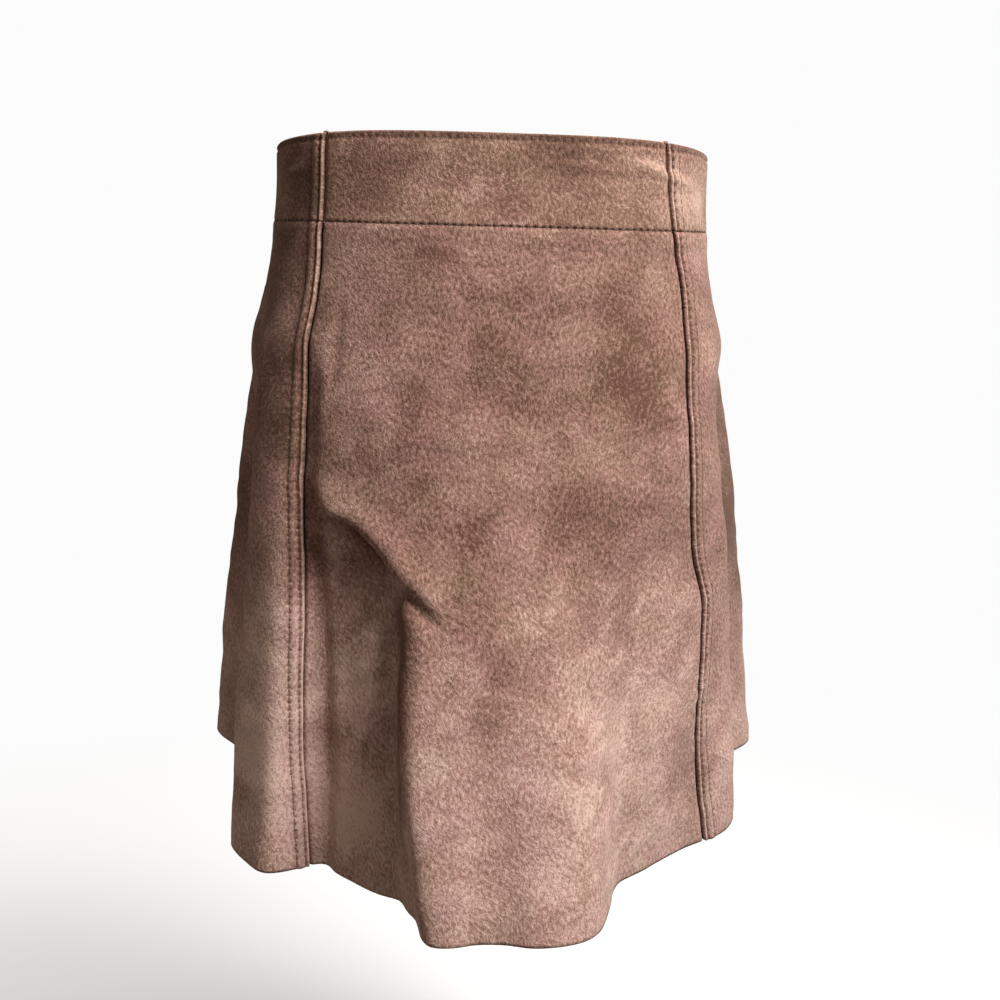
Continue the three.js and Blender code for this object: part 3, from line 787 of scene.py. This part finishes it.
def sew(sewing, points, normals, run):
    """Lays stitches along a path. run is the cloth coordinate along it, which the puckers follow too."""
    row = bmesh.new()
    first, last = math.ceil(run[0] / STITCH_PITCH), math.floor(run[-1] / STITCH_PITCH)
    for count in range(first, last):
        at = (count + 0.5) * STITCH_PITCH
        ends = [np.array([np.interp(at + step, run, points[:, i]) for i in range(3)]) for step in (-0.5, 0.5)]
        outward = np.array([np.interp(at, run, normals[:, i]) for i in range(3)])
        along = Vector(ends[1] - ends[0]).normalized()
        side = Vector(outward).cross(along).normalized()
        up = along.cross(side)
        place = Matrix.Translation(Vector((ends[0] + ends[1]) / 2) * MM)
        turn = Matrix((along * STITCH_LENGTH, side * STITCH_WIDTH, up * STITCH_HEIGHT)).transposed().to_4x4()
        bmesh.ops.create_uvsphere(row, u_segments=STITCH_SEGMENTS, v_segments=STITCH_RINGS, radius=1,
                                  matrix=place @ Matrix.Scale(MM / 2, 4) @ turn)
    laid = mesh_from(row, "row")
    sewing.from_mesh(laid)
    bpy.data.meshes.remove(laid)


def lengthwise_row(piece, drop_at, along, end, away):
    """A path down a piece at a distance from one of its ends."""
    rings = measured_rings(piece, lambda angle: drop_at(angle, along[:, None]))
    places = np.full((len(along), 1), float(away)) if end == 0 else rings[2][:, None] - away
    angle = angles_at(rings, places)
    height, _, _ = sewn_profile(piece, places, rings[2])
    points, normals, _ = dressed(angle, drop_at(angle, along[:, None]), height - STITCH_SINK)
    return points[:, 0], normals[:, 0]


def crosswise_row(piece, drop_at, height):
    """A path across a piece at one height."""
    rings = measured_rings(piece, drop_at)
    length = rings[2][0]
    places = np.linspace(PATH_SIDE, length - PATH_SIDE, PATH_STEPS)[None, :]
    angle = angles_at(rings, places)
    points, normals, _ = dressed(angle, drop_at(angle), height - STITCH_SINK)
    return points[0], normals[0], places[0] - length / 2


def sew_ends(sewing, piece, drop_at, along, run):
    """Sews the rows that run down a piece beside its two ends."""
    for end, edge in enumerate(piece["edges"]):
        for away in ROWS_OF[edge]:
            sew(sewing, *lengthwise_row(piece, drop_at, along, end, away), run)


def finish_sewing(name, sewing, material):
    mesh = mesh_from(sewing, name)
    shade_smooth(mesh)
    rows = placed(name, mesh, material)
    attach(rows, "root")
    return rows


def panel_stitches(piece, thread):
    if not any(ROWS_OF[edge] for edge in piece["edges"]):
        return []
    sewing = bmesh.new()
    down = np.linspace(PATH_TOP, NOMINAL_LENGTH - PATH_BOTTOM, PATH_STEPS)
    sew_ends(sewing, piece, panel_drop, down, down)
    return [finish_sewing(f"{piece['name']}_panel_stitches", sewing, thread)]


def band_stitches(piece, thread):
    sewing = bmesh.new()
    share = np.linspace(*BAND_PATH, PATH_STEPS)
    sew_ends(sewing, piece, band_drop, share, share * (BAND_DEPTH - BAND_ROUND) + BAND_ROUND)
    in_ditch = SEAM_DITCH["height"][0] + SEAM_ROW_RISE
    sew(sewing, *crosswise_row(piece, lambda angle: edge_drop(angle) + RIM_ROW, -RIM_DIP))
    sew(sewing, *crosswise_row(piece, lambda angle: BAND_DEPTH + 0 * angle, in_ditch))
    return [finish_sewing(f"waistband_{piece['name']}_stitches", sewing, thread)]


# The zip

TAPE_WIDTH = 26
TAPE_WALL = 0.8
TAPE_CLEARANCE = 0.5
TAPE_START = 2
TAPE_END = 197
TAPE_EASE = 12
TAPE_COLUMNS = 53
TAPE_ROWS = 150
BEAD_PLACE = 3.6
BEAD_WIDTH = 0.8
BEAD_HEIGHT = 0.45
TOOTH_START = 19
TOOTH_END = 177.5
TOOTH_PITCH = 2.5
TOOTH_WIDTH = 3.4
TOOTH_HEIGHT = 1.15
TOOTH_DEPTH = 1.7
TOOTH_SIDE = 1.25
TOOTH_BEVEL = 0.2


def tape_depth(drop):
    wall = mix(BAND_WALL, PANEL_WALL, smooth((drop - BAND_DEPTH) / TAPE_EASE))
    return wall_radius(np.full(np.shape(drop), 180.0), drop) - wall - TAPE_CLEARANCE


def make_tape(materials):
    across = np.linspace(TAPE_WIDTH / 2, -TAPE_WIDTH / 2, TAPE_COLUMNS)[None, :]
    drop = np.linspace(TAPE_START, TAPE_END, TAPE_ROWS)[:, None]
    bead = BEAD_HEIGHT * np.exp(-((np.abs(across) - BEAD_PLACE) / BEAD_WIDTH) ** 2)
    depth = tape_depth(drop) + bead
    points = np.stack([across + 0 * drop, depth, -drop + 0 * across], -1)
    mesh = cloth_mesh("zip_tape_woven", points, across + 0 * drop, drop + 0 * across)
    tape = walled(mesh, TAPE_WALL, materials)
    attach(tape, "root")
    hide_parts("zip_tape")
    return tape


def make_teeth(material):
    chain = bmesh.new()
    count = int((TOOTH_END - TOOTH_START) / TOOTH_PITCH * 2)
    for i in range(count):
        drop = TOOTH_START + TOOTH_PITCH / 2 * i
        low, high = tape_depth(np.array([drop, drop + 1]))
        lean = math.atan2(high - low, 1)
        side = -1 if i % 2 else 1
        place = Matrix.Translation(Vector((side * TOOTH_SIDE, low + TOOTH_DEPTH / 2, -drop)) * MM)
        size = Matrix.Diagonal((TOOTH_WIDTH * MM, TOOTH_DEPTH * MM, TOOTH_HEIGHT * MM, 1))
        bmesh.ops.create_cube(chain, size=1, matrix=place @ Matrix.Rotation(lean, 4, "X") @ size)
    bmesh.ops.bevel(chain, geom=chain.edges[:], offset=TOOTH_BEVEL * MM, offset_type="OFFSET", affect="EDGES",
                    segments=1, profile=0.5, material=-1)
    teeth = placed("zip_teeth", mesh_from(chain, "zip_teeth"), material)
    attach(teeth, "root")


# Materials


class Shading:
    """A node tree with short calls for adding nodes and joining them."""

    def __init__(self, tree):
        self.tree = tree
        tree.nodes.clear()

    def add(self, kind, inputs=None, **settings):
        made = self.tree.nodes.new(kind)
        for name, value in settings.items():
            setattr(made, name, value)
        for name, value in (inputs or {}).items():
            self.feed(made.inputs[name], value)
        return made

    def feed(self, socket, value):
        if isinstance(value, bpy.types.NodeSocket):
            self.tree.links.new(value, socket)
        else:
            socket.default_value = value

    def math(self, operation, *values):
        return self.add("ShaderNodeMath", dict(enumerate(values)), operation=operation).outputs[0]

    def sum(self, first, second, scale=1.0):
        """first + scale * second"""
        return self.math("MULTIPLY_ADD", second, scale, first)

    def mask(self, name):
        return self.add("ShaderNodeAttribute", attribute_name=name, attribute_type="GEOMETRY").outputs["Fac"]

    def cloth(self):
        return self.add("ShaderNodeUVMap", uv_map="cloth").outputs["UV"]

    def space(self):
        return self.add("ShaderNodeTexCoord").outputs["Object"]

    def turned(self, vector, lean, scale=(1, 1, 1)):
        made = self.add("ShaderNodeMapping", {
            "Vector": vector, "Rotation": (0, 0, math.radians(lean)), "Scale": scale})
        return made.outputs["Vector"]

    def noise(self, vector, scale, detail=2.0, roughness=0.5, distortion=0.0):
        made = self.add("ShaderNodeTexNoise", {
            "Vector": vector, "Scale": scale, "Detail": detail, "Roughness": roughness,
            "Distortion": distortion})
        return made.outputs["Fac"]

    def ramp(self, value, stops):
        made = self.add("ShaderNodeValToRGB", {"Fac": value})
        band = made.color_ramp
        while len(band.elements) < len(stops):
            band.elements.new(0.5)
        for element, (place, colour) in zip(band.elements, stops):
            element.position = place
            element.color = (*colour, 1)
        return made.outputs["Color"]

    def finish(self, relief, strength, distance, inputs):
        """The surface of a material, raised by its relief."""
        raised = self.add("ShaderNodeBump", {"Height": relief, "Strength": strength, "Distance": distance})
        shader = self.add("ShaderNodeBsdfPrincipled", {**inputs, "Normal": raised.outputs["Normal"]})
        self.add("ShaderNodeOutputMaterial", {"Surface": shader.outputs["BSDF"]})


def new_material(name):
    material = bpy.data.materials.new(name)
    material.use_nodes = True
    return material, Shading(material.node_tree)


# The noises in the nap. Mottling and hairs lie on the cloth, the others run through space. share is how much
# of each goes into the nap's grain or its clouds.
SWIRL_SCALE = 30.0
SWIRL_REACH = 0.008
MOTTLE = {"scale": (560, 370, 1), "lean": 28, "share": 2.0, "noise": {"detail": 3.0, "roughness": 0.7}}
HAIR = {"scale": (1700, 900, 1), "lean": 20, "share": 0.9, "noise": {"detail": 2.0, "roughness": 0.6}}
CLOUDS = {"scale": 32.0, "share": 1.45, "noise": {"detail": 5.0, "roughness": 0.66, "distortion": 0.5}}
BROAD_CLOUDS = {"scale": 9.0, "share": 0.5, "noise": {"detail": 3.0, "roughness": 0.5}}
TINT = {"scale": 38.0, "away": (0.3, 0.1, 0.7), "low": 0.472, "reach": 0.056,
        "noise": {"detail": 3.0, "roughness": 0.6}}


def nap_group():
    """Suede's nap: its mottling, hairs and clouds as one shade, its height and its hue."""
    tree = bpy.data.node_groups.new("suede nap", "ShaderNodeTree")
    for side, names in (("INPUT", ("Shade", "Grain", "Clouds")), ("OUTPUT", ("Shade", "Height", "Hue"))):
        for name in names:
            tree.interface.new_socket(name, in_out=side, socket_type="NodeSocketFloat")
    nap = Shading(tree)
    given = nap.add("NodeGroupInput").outputs
    solid = nap.space()
    swirl = nap.add("ShaderNodeTexNoise", {"Vector": solid, "Scale": SWIRL_SCALE, "Detail": 2.0})
    swept = nap.add("ShaderNodeVectorMath", operation="MULTIPLY_ADD", inputs={
        0: swirl.outputs["Color"], 1: (SWIRL_REACH, SWIRL_REACH, 0.0), 2: nap.cloth()}).outputs["Vector"]
    fine = [(kind, nap.noise(nap.turned(swept, kind["lean"], kind["scale"]), 1.0, **kind["noise"]))
            for kind in (MOTTLE, HAIR)]
    wide = [(kind, nap.noise(solid, kind["scale"], **kind["noise"])) for kind in (CLOUDS, BROAD_CLOUDS)]
    grain, broad = 0.0, 0.0
    for kind, value in fine:
        grain = nap.sum(grain, nap.sum(-0.5, value), kind["share"])
    for kind, value in wide:
        broad = nap.sum(broad, nap.sum(-0.5, value), kind["share"])
    shade = nap.math("MULTIPLY_ADD", broad, given["Clouds"],
                     nap.math("MULTIPLY_ADD", grain, given["Grain"], given["Shade"]))
    away = nap.add("ShaderNodeVectorMath", {0: solid, 1: TINT["away"]}, operation="ADD").outputs[0]
    tint = nap.noise(away, TINT["scale"], **TINT["noise"])
    hue = nap.sum(TINT["low"], tint, TINT["reach"])
    nap.add("NodeGroupOutput", {"Shade": shade, "Height": grain, "Hue": hue})
    return tree


NAP = nap_group()


# The needle holes are painted shade, darkened this much.
PUCKER_HOLE = 0.35  # how dark a needle hole is
HOLE_EDGE = 0.35  # how high the puckers' wave is at the edge of a hole
PUCKER_RELIEF = -0.4
NAP_RELIEF = 0.0011


def pucker_part(look):
    """Near the rows of stitching, a wave that is 1 at each needle hole and -1 on each stitch."""
    sides = look.add("ShaderNodeSeparateXYZ", {0: look.cloth()}).outputs
    parts = []
    for axis, mask in (("Y", "pucker"), ("X", "cross_pucker")):
        turn = look.math("MULTIPLY", sides[axis], 2 * math.pi / (STITCH_PITCH * MM))
        parts.append(look.math("MULTIPLY", look.math("COSINE", turn), look.mask(mask)))
    return look.sum(parts[0], parts[1])


def suede(name, stops, grain=0.75, clouds=0.5, bump=0.45, sheen=0.2):
    """Napped suede. stops are its colours, from crushed dark nap and painted shade to raised light nap and
    painted highlights.
    """
    material, look = new_material(name)
    shade = look.mask("shade")
    nap = look.add("ShaderNodeGroup", node_tree=NAP)
    pucker = pucker_part(look)
    # Painted shade in the needle holes.
    depth = look.math("MULTIPLY", look.math("GREATER_THAN", pucker, HOLE_EDGE), pucker)
    look.feed(nap.inputs["Shade"], look.sum(look.sum(0.5, shade), depth, -PUCKER_HOLE))
    nap.inputs["Grain"].default_value = grain
    nap.inputs["Clouds"].default_value = clouds
    plain = look.ramp(nap.outputs["Shade"], list(zip(SUEDE_PLACES, stops)))
    colour = look.add("ShaderNodeHueSaturation", {"Color": plain, "Hue": nap.outputs["Hue"]}).outputs["Color"]
    relief = look.sum(nap.outputs["Height"], pucker, PUCKER_RELIEF)
    look.finish(relief, bump, NAP_RELIEF, {
        "Base Color": colour, "Roughness": 0.95, "Specular IOR Level": 0.12, "Sheen Weight": sheen,
        "Sheen Roughness": 0.55, "Sheen Tint": (0.95, 0.78, 0.68, 1)})
    return material


# Where each colour is met, and the colours of each kind of suede there.
SUEDE_PLACES = (0.08, 0.5, 0.92)
SUEDE_STOPS = ((0.096, 0.045, 0.029), (0.300, 0.171, 0.139), (0.590, 0.410, 0.355))
BAND_STOPS = ((0.070, 0.032, 0.021), (0.212, 0.117, 0.086), (0.480, 0.315, 0.250))
INSIDE_STOPS = ((0.10, 0.052, 0.036), (0.235, 0.140, 0.105), (0.42, 0.29, 0.23))
CUT_STOPS = ((0.10, 0.055, 0.040), (0.235, 0.145, 0.110), (0.45, 0.32, 0.26))


def thread_material():
    material, look = new_material("tonal_thread")
    twist = look.noise(look.space(), 2600.0, detail=1.0)
    colour = look.ramp(twist, [(0.3, (0.045, 0.024, 0.016)), (0.7, (0.13, 0.075, 0.055))])
    look.finish(twist, 0.5, 0.0003, {"Base Color": colour, "Roughness": 0.75})
    return material


def tape_material():
    """Twill tape: two fine waves that cross."""
    material, look = new_material("zip_tape_twill")
    cloth = look.cloth()
    waves = (
        ("X", {"Vector": look.turned(cloth, 58), "Scale": 190.0}),
        ("Y", {"Vector": cloth, "Scale": 330.0, "Distortion": 0.5}),
    )
    rib, pick = (look.add("ShaderNodeTexWave", inputs, wave_type="BANDS", bands_direction=axis).outputs["Fac"]
                 for axis, inputs in waves)
    weave = look.math("MULTIPLY", rib, pick)
    colour = look.ramp(weave, [(0.0, (0.028, 0.016, 0.011)), (1.0, (0.115, 0.068, 0.05))])
    look.finish(weave, 0.7, 0.0004, {"Base Color": colour, "Roughness": 0.85, "Sheen Weight": 0.1})
    return material


def brass_material():
    """Aged brass: tarnish in clouds and small scratches."""
    material, look = new_material("aged_brass")
    solid = look.space()
    tarnish = look.noise(solid, 260.0, detail=5.0, roughness=0.65)
    fine = look.noise(solid, 3200.0, detail=2.0)
    colour = look.ramp(tarnish, [(0.32, (0.13, 0.085, 0.04)), (0.62, (0.42, 0.30, 0.15))])
    rough = look.sum(0.18, tarnish, 0.42)
    look.finish(fine, 0.15, 0.0001, {"Base Color": colour, "Metallic": 1.0, "Roughness": rough})
    return material


# Making the skirt

outer_suede = suede("rose_brown_suede", SUEDE_STOPS)
band_suede = suede("waistband_suede", BAND_STOPS)
inner_suede = suede("suede_inside", INSIDE_STOPS, grain=0.4, clouds=0.4, bump=0.25, sheen=0.1)
cut_edge = suede("suede_cut_edge", CUT_STOPS, grain=0.5, clouds=0.3, bump=0.3, sheen=0.1)
thread = thread_material()
brass = brass_material()
twill = tape_material()

for piece in PIECES:
    band = make_band(piece, [band_suede, band_suede, cut_edge])
    panel = make_panel(piece, [outer_suede, inner_suede, cut_edge])
    band_stitches(piece, thread)
    panel_stitches(piece, thread)

tape = make_tape([twill, twill, twill])
make_teeth(brass)
for node in ("zip_slider", "zip_pull_tab", "zip_bottom_stop", "zip_top_stop_left", "zip_top_stop_right"):
    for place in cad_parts[node].material_slots:
        place.material = brass

# The floor and the light

FLOOR_DROP = 0.85
FLOOR_REACH = 9.0
FLOOR_WHITENS = 0.3  # the floor turns to plain white between these distances from the middle
FLOOR_WHITE = 1.3
WHITE_STRENGTH = 0.97
WORLD_STRENGTH = 0.08


def floor_material():
    material, look = new_material("pale_floor")
    level = look.add("ShaderNodeVectorMath", {0: look.space(), 1: (1, 1, 0)}, operation="MULTIPLY").outputs[0]
    distance = look.add("ShaderNodeVectorMath", {0: level}, operation="LENGTH").outputs["Value"]
    far = look.add("ShaderNodeMapRange", {
        "Value": distance, "From Min": FLOOR_WHITENS, "From Max": FLOOR_WHITE}).outputs["Result"]
    near = look.add("ShaderNodeBsdfDiffuse", {"Color": (0.86, 0.86, 0.86, 1)})
    white = look.add("ShaderNodeEmission", {"Color": (1, 1, 1, 1), "Strength": WHITE_STRENGTH})
    pale = look.add("ShaderNodeMixShader", {0: far, 1: near.outputs["BSDF"], 2: white.outputs["Emission"]})
    dim = look.add("ShaderNodeBsdfDiffuse", {"Color": (0.16, 0.145, 0.13, 1)})
    seen = look.add("ShaderNodeLightPath").outputs["Is Camera Ray"]
    both = look.add("ShaderNodeMixShader", {0: seen, 1: dim.outputs["BSDF"], 2: pale.outputs["Shader"]})
    look.add("ShaderNodeOutputMaterial", {"Surface": both.outputs["Shader"]})
    return material


def make_floor():
    plane = bmesh.new()
    bmesh.ops.create_circle(plane, cap_ends=True, segments=64, radius=FLOOR_REACH,
                            matrix=Matrix.Translation((0, 0, -FLOOR_DROP)))
    floor = placed("floor", mesh_from(plane, "floor"), floor_material())


def make_world():
    world = bpy.data.worlds.new("studio")
    world.use_nodes = True
    bpy.context.scene.world = world
    look = Shading(world.node_tree)
    seen = look.add("ShaderNodeLightPath").outputs["Is Camera Ray"]
    light = look.add("ShaderNodeBackground", {"Color": (1.0, 0.86, 0.74, 1), "Strength": WORLD_STRENGTH})
    white = look.add("ShaderNodeBackground", {"Color": (1, 1, 1, 1), "Strength": WHITE_STRENGTH})
    both = look.add("ShaderNodeMixShader", {0: seen, 1: light.outputs[0], 2: white.outputs[0]})
    look.add("ShaderNodeOutputWorld", {"Surface": both.outputs["Shader"]})


# Area lights: place, size, power and colour. They all face the middle of the skirt.
LIGHTS = [
    ("key", (0.72, -0.82, 1.1), 0.5, 56, (1.0, 0.97, 0.94)),
    ("left fill", (-1.0, -1.5, 0.1), 1.0, 3.4, (1.0, 0.86, 0.72)),
    ("right fill", (1.7, -0.5, 0.1), 0.8, 5, (1.0, 0.97, 0.95)),
    ("left side", (-1.7, 0.5, 0.3), 1.0, 4, (1.0, 0.9, 0.8)),
    ("back", (0.3, 1.75, 0.7), 1.2, 32, (1.0, 0.97, 0.95)),
]
AIM = Vector((0, 0, -0.2))


def make_lights():
    for name, place, size, power, colour in LIGHTS:
        lamp = bpy.data.lights.new(name, "AREA")
        lamp.size = size
        lamp.energy = power
        lamp.color = colour
        light = placed(name, lamp)
        light.location = place
        light.rotation_mode = "QUATERNION"
        light.rotation_quaternion = (AIM - Vector(place)).to_track_quat("-Z", "Y")


make_floor()
make_world()
make_lights()
bpy.context.scene.view_settings.view_transform = "Standard"
bpy.context.scene.view_settings.look = "None"

bpy.context.view_layer.update()
